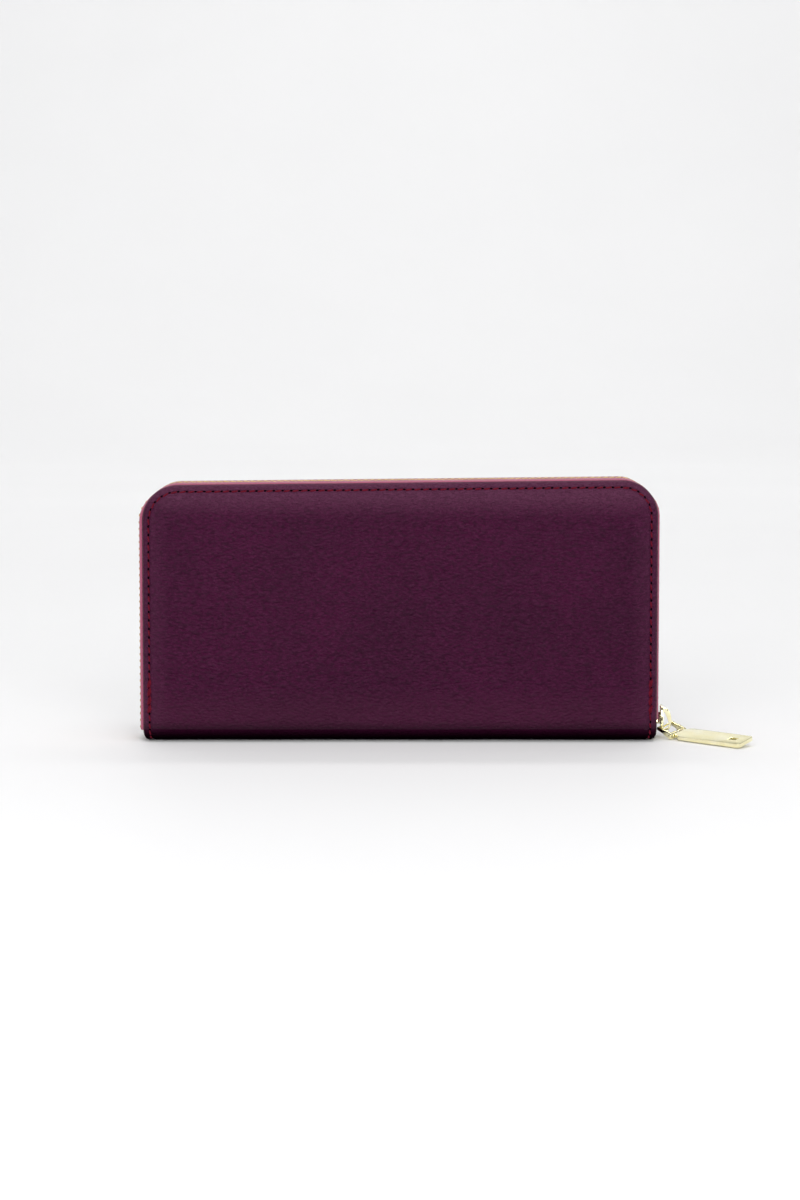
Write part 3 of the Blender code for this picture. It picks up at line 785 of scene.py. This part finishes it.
def teeth_mesh(name, side, offset):
    bld = Builder()
    line = zip_line(12.9, 4.6, 1.27)
    for i, s in enumerate(line):
        if i % 2 == offset:
            tooth(bld, s, side)
    return bld.object(name, TOOTH)


for word, side, off in (("front", -1, 0), ("back", 1, 1)):
    body = word + "_cover"
    tp = tape_mesh("zip_tape_%s_woven" % word, side)
    bend(tp)
    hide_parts("zip_tape_" + word)
    te = teeth_mesh("zip_teeth_%s_row" % word, side, off)
    bend(te)
    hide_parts("zip_teeth_" + word)


# ------------------------------------------------------------------ lining, panels, pocket
TRIM = leather("plum_trim_leather", srgb(70, 12, 48), srgb(46, 6, 32), srgb(84, 18, 58),
               grain=0.55, rough=(0.36, 0.46), spec=0.16, foot=False)


def cloth_material(name, a, b, c, pitch=0.00055):
    """Plain-woven lining cloth: warp and weft threads crossing, with slubs."""
    m = Mat(name, rough=0.8, spec=0.10, sheen=0.15)
    waves = []
    for axis in ("X", "Z"):
        w = m.n("ShaderNodeTexWave")
        w.wave_type = "BANDS"
        w.bands_direction = axis
        w.inputs["Scale"].default_value = 0.314 / pitch
        w.inputs["Distortion"].default_value = 0.35
        m.link(m.coord(), w.inputs["Vector"])
        waves.append(w.outputs["Fac"])
    cross = m.math("MULTIPLY", waves[0], waves[1])
    slub = m.noise(420, 3.0, 0.6, m.coord((0.2, 1.0, 1.6)))
    col = m.ramp(cross, [(0.05, c), (0.35, a), (0.9, b)])
    col = m.mix(m.span(slub, 0.45, 0.70, 0.0, 0.45), col, b)
    m.color(col)
    m.rough(m.span(slub, 0.3, 0.7, 0.72, 0.9))
    n1 = m.bump(cross, 0.6, 0.00012)
    m.bump(slub, 0.4, 0.00020, n1)
    return m.mat


CLOTH = cloth_material("plum_lining_cloth", srgb(96, 26, 58), srgb(122, 44, 78), srgb(62, 12, 36))
GUSSET_CLOTH = cloth_material("plum_gusset_cloth", srgb(88, 22, 54), srgb(110, 38, 70), srgb(56, 10, 34), 0.0005)


def speckled(name, a, b, scale, rough, bump, distance, spec=0.15):
    m = Mat(name, rough=rough, spec=spec)
    f = m.noise(scale, 5.0, 0.65)
    m.color(m.ramp(f, [(0.32, a), (0.66, b)]))
    cell = m.voronoi(scale * 1.6, None, "F1", 1.0)
    m.rough(m.span(f, 0.3, 0.7, rough - 0.06, min(1.0, rough + 0.08)))
    n1 = m.bump(cell, bump, distance)
    m.bump(f, bump * 0.6, distance, n1)
    return m.mat


FOAM = speckled("open_cell_foam", srgb(206, 204, 196), srgb(232, 230, 222), 1500, 0.85, 0.7, 0.00025)
BOARD = speckled("bonded_board", srgb(136, 128, 116), srgb(172, 164, 150), 900, 0.80, 0.4, 0.00012)
for word in ("front", "back"):
    for node, mat in ((word + "_cover_padding", FOAM), (word + "_cover_board", BOARD)):
        ob = NODES[node]
        ob.data.materials.clear()
        ob.data.materials.append(mat)


def slab(name, outer, inner, mats, face_mat=0):
    """Closed sheet between two equal grids of points (rows of columns)."""
    nr, nc = len(outer), len(outer[0])
    verts = [p for r in outer for p in r] + [p for r in inner for p in r]
    o = nr * nc
    f = []
    for j in range(nr - 1):
        for i in range(nc - 1):
            a = j * nc + i
            f.append((a, a + 1, a + nc + 1, a + nc))
            f.append((o + a, o + a + nc, o + a + nc + 1, o + a + 1))
    for i in range(nc - 1):
        f.append((i, o + i, o + i + 1, i + 1))
        a = (nr - 1) * nc + i
        f.append((a, a + 1, o + a + 1, o + a))
    for j in range(nr - 1):
        a = j * nc
        f.append((a, a + nc, o + a + nc, o + a))
        a = j * nc + nc - 1
        f.append((a, o + a, o + a + nc, a + nc))
    ob = mesh_object(name, verts, f, mats, None, True, 50)
    return fix_normals(ob)


def wave_y(x, z):
    """The same slight unevenness for all the layers of one side."""
    return 0.07 * noise.noise(Vector((x * 0.05, z * 0.07, 2.0)))


def panel(name, side, span, foot, top, half, r_top, lines, mat=None):
    """Pocket panel with a folded, softly rounded top edge and a pressed
    line along each row of stitches."""
    ya, yb = span
    xs = list(np.linspace(-half, -half + r_top, 7)) + list(np.linspace(-half + r_top, half - r_top, 90))[1:-1] \
        + list(np.linspace(half - r_top, half, 7))
    below = [0.0, 0.04, 0.12, 0.25, 0.45, 0.8, 1.2, 1.45, 1.6, 1.7, 1.8, 1.95, 2.2, 2.8, 4.0, 6.0, 9.0, 13.0]
    rest = list(np.linspace(16.0, top - foot, max(3, int((top - foot) / 5))))
    outer, inner = [], []
    for d in below + [r for r in rest if r > 13.5]:
        ro, ri = [], []
        for x in xs:
            a = abs(x) - (half - r_top)
            drop = r_top - math.sqrt(max(0.0, r_top ** 2 - a * a)) if a > 0 else 0.0
            full = top - foot
            z = top - drop - d * (full - drop) / full
            t = 1.0 if d >= 0.25 else math.sqrt(max(0.03, 1 - (1 - d / 0.25) ** 2))
            mid = (ya + yb) / 2
            h = (yb - ya) / 2 * t
            w = wave_y(x, z)
            groove = 0.0
            for g in lines:
                groove += 0.07 * math.exp(-((d - g) / 0.16) ** 2)
            yin = mid - h + groove
            ro.append((x, side * (mid + h + w), z))
            ri.append((x, side * (yin + w), z))
        outer.append(ro)
        inner.append(ri)
    return slab(name, outer, inner, mat or TRIM)


def flat_stitch(bld, a, b, nrm, r=0.15):
    a, b, nrm = Vector(a), Vector(b), Vector(nrm)
    pts, ups = [], []
    for k in range(6):
        t = k / 5
        lift_ = 0.10 - 0.20 * abs(2 * t - 1) ** 3
        pts.append(a.lerp(b, t) + nrm * lift_)
        ups.append(nrm)
    bld.tube(pts, ups, r, r * 0.8, 6, 0, [0.6, 0.95, 1.0, 1.0, 0.95, 0.6])


def stitch_row(bld, y, side, p0, p1, pitch=3.0, length=2.2):
    """Stitches on the inner face at y, from p0 to p1 (x, z)."""
    d = Vector((p1[0] - p0[0], p1[1] - p0[1]))
    n = max(1, int(round(d.length / pitch)))
    t = d.normalized()
    for k in range(n):
        c = Vector(p0) + d * ((k + 0.5) / n)
        a, b = c - t * length / 2, c + t * length / 2
        pa = (a.x, side * (y + wave_y(a.x, a.y)), a.y)
        pb = (b.x, side * (y + wave_y(b.x, b.y)), b.y)
        flat_stitch(bld, pa, pb, (0, -side, 0))


LAYERS = [("slip_pocket", (8.5, 8.9), 14.0, 90.0, 5.0)]
LAYERS += [("card_panel_%d" % (k + 1), s, f, t, 1.5) for k, (s, f, t) in enumerate(
    (((7.9, 8.3), 28.0, 82.0), ((7.3, 7.7), 14.0, 68.0), ((6.7, 7.1), 14.0, 54.0), ((6.1, 6.5), 14.0, 40.0)))]
HALF_P = 88.5


def lining_sheet(name, side):
    """Lining in one piece from the middle of the spine up the cover."""
    xs = list(np.linspace(-94.2, 94.2, 100))
    rows = list(np.linspace(0.0, FLAT, 6)) + list(np.linspace(FLAT, V_SIDE, 12))[1:] \
        + list(np.linspace(V_SIDE, V_TOP - 2.3, 44))[1:]
    outer, inner = [], []
    for v in rows:
        k = min(1.0, v / V_SIDE)
        deep = 1.42 + (3.98 - 1.42) * k * k * (3 - 2 * k)
        p, n = profile(v, side)
        ro, ri = [], []
        for x in xs:
            cx, cz = 94.2 - 11.5, V_TOP - 2.3 - 11.5
            xx = x
            if v > cz and abs(x) > 0:
                lim = cx + math.sqrt(max(0.0, 11.5 ** 2 - (v - cz) ** 2))
                xx = x * lim / 94.2
            w = 0.05 * noise.noise(Vector((xx * 0.06, v * 0.08, 9.0 + side)))
            q = p - n * (deep + w)
            r = p - n * (deep - 0.32 + w)
            ri.append((xx, q.y, q.z))
            ro.append((xx, r.y, r.z))
        outer.append(ro)
        inner.append(ri)
    return slab(name, outer, inner, CLOTH)


for word, side in (("front", -1), ("back", 1)):
    body = word + "_cover"
    ob = lining_sheet(word + "_lining_sheet", side)
    bend(ob)
    if word == "front":
        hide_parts("front_lining", "spine_lining")
    else:
        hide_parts("back_lining")
    bld = Builder()
    for key, span, foot, top, r_top in LAYERS:
        ob = panel("%s_%s_leather" % (word, key), side, span, foot, top, HALF_P, r_top, (1.7,))
        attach(ob, body)
        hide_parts("%s_%s" % (word, key))
        stitch_row(bld, span[0], side, (-HALF_P + 2, top - 1.7), (HALF_P - 2, top - 1.7))
        if "card" in key:
            stitch_row(bld, span[0], side, (0.0, max(top - 13.6, foot + 0.5)), (0.0, top - 2.6))
    for sx in (-1, 1):
        stitch_row(bld, 6.1, side, (sx * (HALF_P - 1.6), 15.0), (sx * (HALF_P - 1.6), 37.5))
    st = bld.object(word + "_panel_stitches", THREAD)
    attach(st, body)

# coin pocket: two panels, two tapes and a chain of small teeth
bld = Builder()
for word, side in (("front", -1), ("back", 1)):
    ya, yb = 1.4, 1.8
    xs = list(np.linspace(-88, 88, 90))
    ds = [0.0, 0.04, 0.12, 0.25, 0.6, 1.1, 1.4, 1.55, 1.7, 1.85, 2.1, 3.0, 6.0] + list(np.linspace(10, 70, 16))
    outer, inner = [], []
    for d in ds:
        ro, ri = [], []
        for x in xs:
            a = abs(x) - 84.0
            drop = 4 - math.sqrt(max(0.0, 16 - a * a)) if a > 0 else 0.0
            z = 76.0 - drop - d * (70.0 - drop) / 70.0
            t = 1.0 if d >= 0.25 else math.sqrt(max(0.03, 1 - (1 - d / 0.25) ** 2))
            groove = 0.07 * math.exp(-((d - 1.6) / 0.16) ** 2) if d < 4 else 0.0
            ro.append((x, side * (1.6 + 0.2 * t - groove), z))
            ri.append((x, side * (1.6 - 0.2 * t), z))
        outer.append(ro)
        inner.append(ri)
    ob = slab("coin_pocket_%s_leather" % word, outer, inner, TRIM)
    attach(ob, "root")
    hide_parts("coin_pocket_%s_panel" % word)
    for p0, p1 in (((-84, 74.4), (84, 74.4)), ((-86.4, 8), (-86.4, 71)), ((86.4, 8), (86.4, 71))):
        d = Vector((p1[0] - p0[0], p1[1] - p0[1]))
        n = int(round(d.length / 3.0))
        for k in range(n):
            c = Vector(p0) + d * ((k + 0.5) / n)
            t = d.normalized() * 1.1
            flat_stitch(bld, (c.x - t.x, side * 1.8, c.y - t.y), (c.x + t.x, side * 1.8, c.y + t.y), (0, side, 0))
st = bld.object("coin_pocket_stitches", THREAD)
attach(st, "root")

COIN_TAPE = [(1.02, 72.0), (1.05, 74.0), (1.12, 75.8), (1.32, 77.4), (1.50, 79.0), (1.52, 80.6), (1.38, 82.0), (1.02, 82.9)]
CHAIN = 83.2
for word, side in (("front", -1), ("back", 1)):
    outer, inner = [], []
    for k, (y, z) in enumerate(COIN_TAPE):
        ro, ri = [], []
        for x in np.linspace(-81.0, 81.0, 110):
            w = 0.05 * noise.noise(Vector((x * 0.12, z * 0.2, side * 5.0)))
            ro.append((x, side * (y + 0.16 + w), z))
            ri.append((x, side * (y - 0.16 + w), z))
        outer.append(ro)
        inner.append(ri)
    ob = slab("coin_zip_tape_%s_woven" % word, outer, inner, TAPE)
    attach(ob, "root")
    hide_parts("coin_zip_tape_" + word)

bld = Builder()
COIN_SECTION = [(1.72, 0.26, 0.40), (1.60, 0.38, 0.56), (1.2, 0.44, 0.62), (0.7, 0.42, 0.58), (0.42, 0.32, 0.46),
                (0.12, 0.30, 0.42), (-0.16, 0.40, 0.46), (-0.42, 0.36, 0.40), (-0.56, 0.22, 0.26)]
for i in range(157):
    x = -78.0 + i
    side = -1 if i % 2 else 1
    ring, seg = [], 8
    for y, hw, ht in COIN_SECTION:
        for a in range(seg):
            c = 2 * math.pi * (a + 0.5) / seg
            u = math.copysign(abs(math.cos(c)) ** 0.6, math.cos(c)) * hw
            w = math.copysign(abs(math.sin(c)) ** 0.6, math.sin(c)) * ht
            ring.append((x + u, side * y, CHAIN + w))
    faces = []
    n = len(COIN_SECTION)
    for q in range(n - 1):
        for a in range(seg):
            b = (a + 1) % seg
            faces.append((q * seg + a, q * seg + b, (q + 1) * seg + b, (q + 1) * seg + a))
    faces.append(tuple(range(seg - 1, -1, -1)))
    faces.append(tuple((n - 1) * seg + a for a in range(seg)))
    bld.add(ring, faces)
ob = bld.object("coin_zip_teeth_rows", TOOTH)
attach(ob, "root")
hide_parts("coin_zip_teeth")


# ------------------------------------------------------------------ gussets
def smooth_line(pts, n):
    """Catmull-Rom line through the points."""
    p = [Vector(q) for q in pts]
    p = [p[0] * 2 - p[1]] + p + [p[-1] * 2 - p[-2]]
    out = []
    for i in range(1, len(p) - 2):
        for k in range(n):
            t = k / n
            a, b, c, d = p[i - 1], p[i], p[i + 1], p[i + 2]
            out.append(0.5 * ((2 * b) + (c - a) * t + (2 * a - 5 * b + 4 * c - d) * t * t
                              + (3 * b - a - 3 * c + d) * t ** 3))
    out.append(p[-2])
    return out


GUSSET = [(93.4, 8.78), (92.0, 8.5), (90.4, 5.7), (84.0, 4.75), (78.0, 4.45), (76.2, 3.9),
          (78.0, 3.35), (84.0, 3.0), (89.0, 2.5), (89.9, 1.75), (88.9, 1.25)]
for end, sx in (("right", 1), ("left", -1)):
    for word, side in (("front", -1), ("back", 1)):
        line = smooth_line(GUSSET, 5)
        nrm = []
        for k, p in enumerate(line):
            t = (line[min(k + 1, len(line) - 1)] - line[max(k - 1, 0)]).normalized()
            nrm.append(Vector((-t.y, t.x)))
        outer, inner = [], []
        for z in np.linspace(14.0, 82.0, 40):
            ro, ri = [], []
            for p, n in zip(line, nrm):
                deep = max(0.0, min(1.0, (90.0 - p.x) / 14.0))
                w = 0.10 * noise.noise(Vector((p.x * 0.15, z * 0.09, side * 2.0 + sx)))
                x = p.x + deep * (0.8 * noise.noise(Vector((z * 0.045, sx * 3.0, side * 4.0))))
                ro.append((sx * (x + n.x * 0.09), side * (p.y + n.y * 0.09 + w * deep), z))
                ri.append((sx * (x - n.x * 0.09), side * (p.y - n.y * 0.09 + w * deep), z))
            outer.append(ro)
            inner.append(ri)
        ob = slab("gusset_%s_%s_cloth" % (end, word), outer, inner, GUSSET_CLOTH)
        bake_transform(ob)
        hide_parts("gusset_%s_%s" % (end, word))

# end stops: small crimped staples across the chain
for end, sx, z in (("right", 1, 1.85), ("left", -1, 4.65)):
    bld = Builder()
    pts, ups = [], []
    for k in range(13):
        a = math.pi * k / 12
        pts.append((sx * (HALF - 0.5 + 0.9 * math.sin(a)), 1.7 * math.cos(a), z))
        ups.append((0, 0, 1))
    bld.tube(pts, ups, 0.42, 0.62, 10)
    ob = bld.object("zip_end_stop_%s_staple" % end, TOOTH, 60)
    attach(ob, "root")
    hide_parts("zip_end_stop_" + end)


# ------------------------------------------------------------------ metal CAD pieces
def dress(node, mat, width=0.0, seg=2, angle=32):
    """A CAD node keeps its shape; its hard edges get a small polished radius."""
    ob = NODES[node]
    ob.data.materials.clear()
    ob.data.materials.append(mat)
    if width:
        w = ob.modifiers.new("weld", "WELD")
        w.merge_threshold = 0.000004
        b = ob.modifiers.new("edge", "BEVEL")
        b.width = width * MM
        b.segments = seg
        b.limit_method = "ANGLE"
        b.angle_limit = math.radians(angle)
        b.harden_normals = False
        b.use_clamp_overlap = True
    ob.data.shade_smooth()
    ob.data.set_sharp_from_angle(angle=math.radians(38))


for n in ("zip_slider_body", "pull_link", "pull_pin", "pull_tab", "coin_zip_slider", "coin_zip_pull"):
    dress(n, GOLD, 0.12)
for n in ("coin_zip_stop_left", "coin_zip_stop_right"):
    dress(n, TOOTH)


# ------------------------------------------------------------------ floor, light, camera
def stage():
    """Seamless pale floor that turns up behind the object."""
    ys = [-6.0, -3.0, -1.0, 0.0, 1.0, 2.0]
    prof = [(y, 0.0) for y in ys]
    for k in range(1, 13):
        a = math.pi / 2 * k / 12
        prof.append((2.0 + 1.5 * math.sin(a), 1.5 - 1.5 * math.cos(a)))
    prof += [(3.5, 2.5), (3.5, 5.0)]
    verts, faces = [], []
    for y, z in prof:
        for x in (-6.0, -2.0, 2.0, 6.0):
            verts.append((x / MM, y / MM, (z - 0.0001) / MM))
    for i in range(len(prof) - 1):
        for k in range(3):
            faces.append((i * 4 + k, i * 4 + k + 1, (i + 1) * 4 + k + 1, (i + 1) * 4 + k))
    m = Mat("floor_white", rough=0.6, spec=0.2)
    m.color(m.ramp(m.noise(3.0, 2.0), [(0.3, (0.90, 0.90, 0.905, 1)), (0.7, (0.915, 0.915, 0.92, 1))]))
    floor = mesh_object("floor", verts, faces, m.mat)


def area(name, loc, target, size, energy, size_y=None, color=(1, 1, 1)):
    li = bpy.data.lights.new(name, "AREA")
    li.shape = "RECTANGLE"
    li.size = size
    li.size_y = size_y or size
    li.energy = energy
    li.color = color
    ob = bpy.data.objects.new(name, li)
    bpy.context.scene.collection.objects.link(ob)
    ob.location = loc
    d = Vector(target) - Vector(loc)
    ob.rotation_euler = d.to_track_quat("-Z", "Y").to_euler()
    return ob


stage()
world = bpy.data.worlds.new("studio")
bpy.context.scene.world = world
world.use_nodes = True
wn = world.node_tree
bg = wn.nodes["Background"]
tc = wn.nodes.new("ShaderNodeTexCoord")
sep = wn.nodes.new("ShaderNodeSeparateXYZ")
wn.links.new(tc.outputs["Generated"], sep.inputs[0])
mr = wn.nodes.new("ShaderNodeMapRange")
mr.interpolation_type = "SMOOTHSTEP"
mr.inputs["From Min"].default_value = -0.95
mr.inputs["From Max"].default_value = 0.15
mr.inputs["To Min"].default_value = 0.19
mr.inputs["To Max"].default_value = 0.55
wn.links.new(sep.outputs["Y"], mr.inputs["Value"])
wn.links.new(mr.outputs["Result"], bg.inputs["Strength"])
bg.inputs["Color"].default_value = (1.0, 1.0, 1.0, 1)
area("front_softbox", (0.0, -1.62, 0.84), (0, 0, 0.05), 1.9, 22.0, 0.86)
area("left_strip", (-0.95, -1.38, 0.27), (-0.06, 0, 0.05), 0.75, 4.6, 0.5)
area("right_strip", (1.05, -1.34, 0.27), (0.06, 0, 0.05), 0.6, 2.3, 0.5)
area("top_softbox", (0.0, -0.35, 1.8), (0, 0, 0.0), 1.6, 8.5, 0.5)
area("backdrop_light", (0.0, 1.2, 2.6), (0, 3.3, 0.75), 3.0, 44.0, 0.8)

DIST = 0.935
EL = math.radians(9.5)
cam_data = bpy.data.cameras.new("camera")
cam = bpy.data.objects.new("camera", cam_data)
bpy.context.scene.collection.objects.link(cam)
bpy.context.scene.camera = cam
cam_data.sensor_width = 36.0
cam_data.lens = 75.1
TILT = math.radians(4.0)
cam.location = (0.0, -0.013 - DIST, DIST * math.tan(EL))
cam.rotation_euler = (math.pi / 2 - TILT, 0, 0)
cam_data.shift_y = -0.0821
cam_data.shift_x = 0.0
bpy.context.scene.view_settings.view_transform = "Standard"
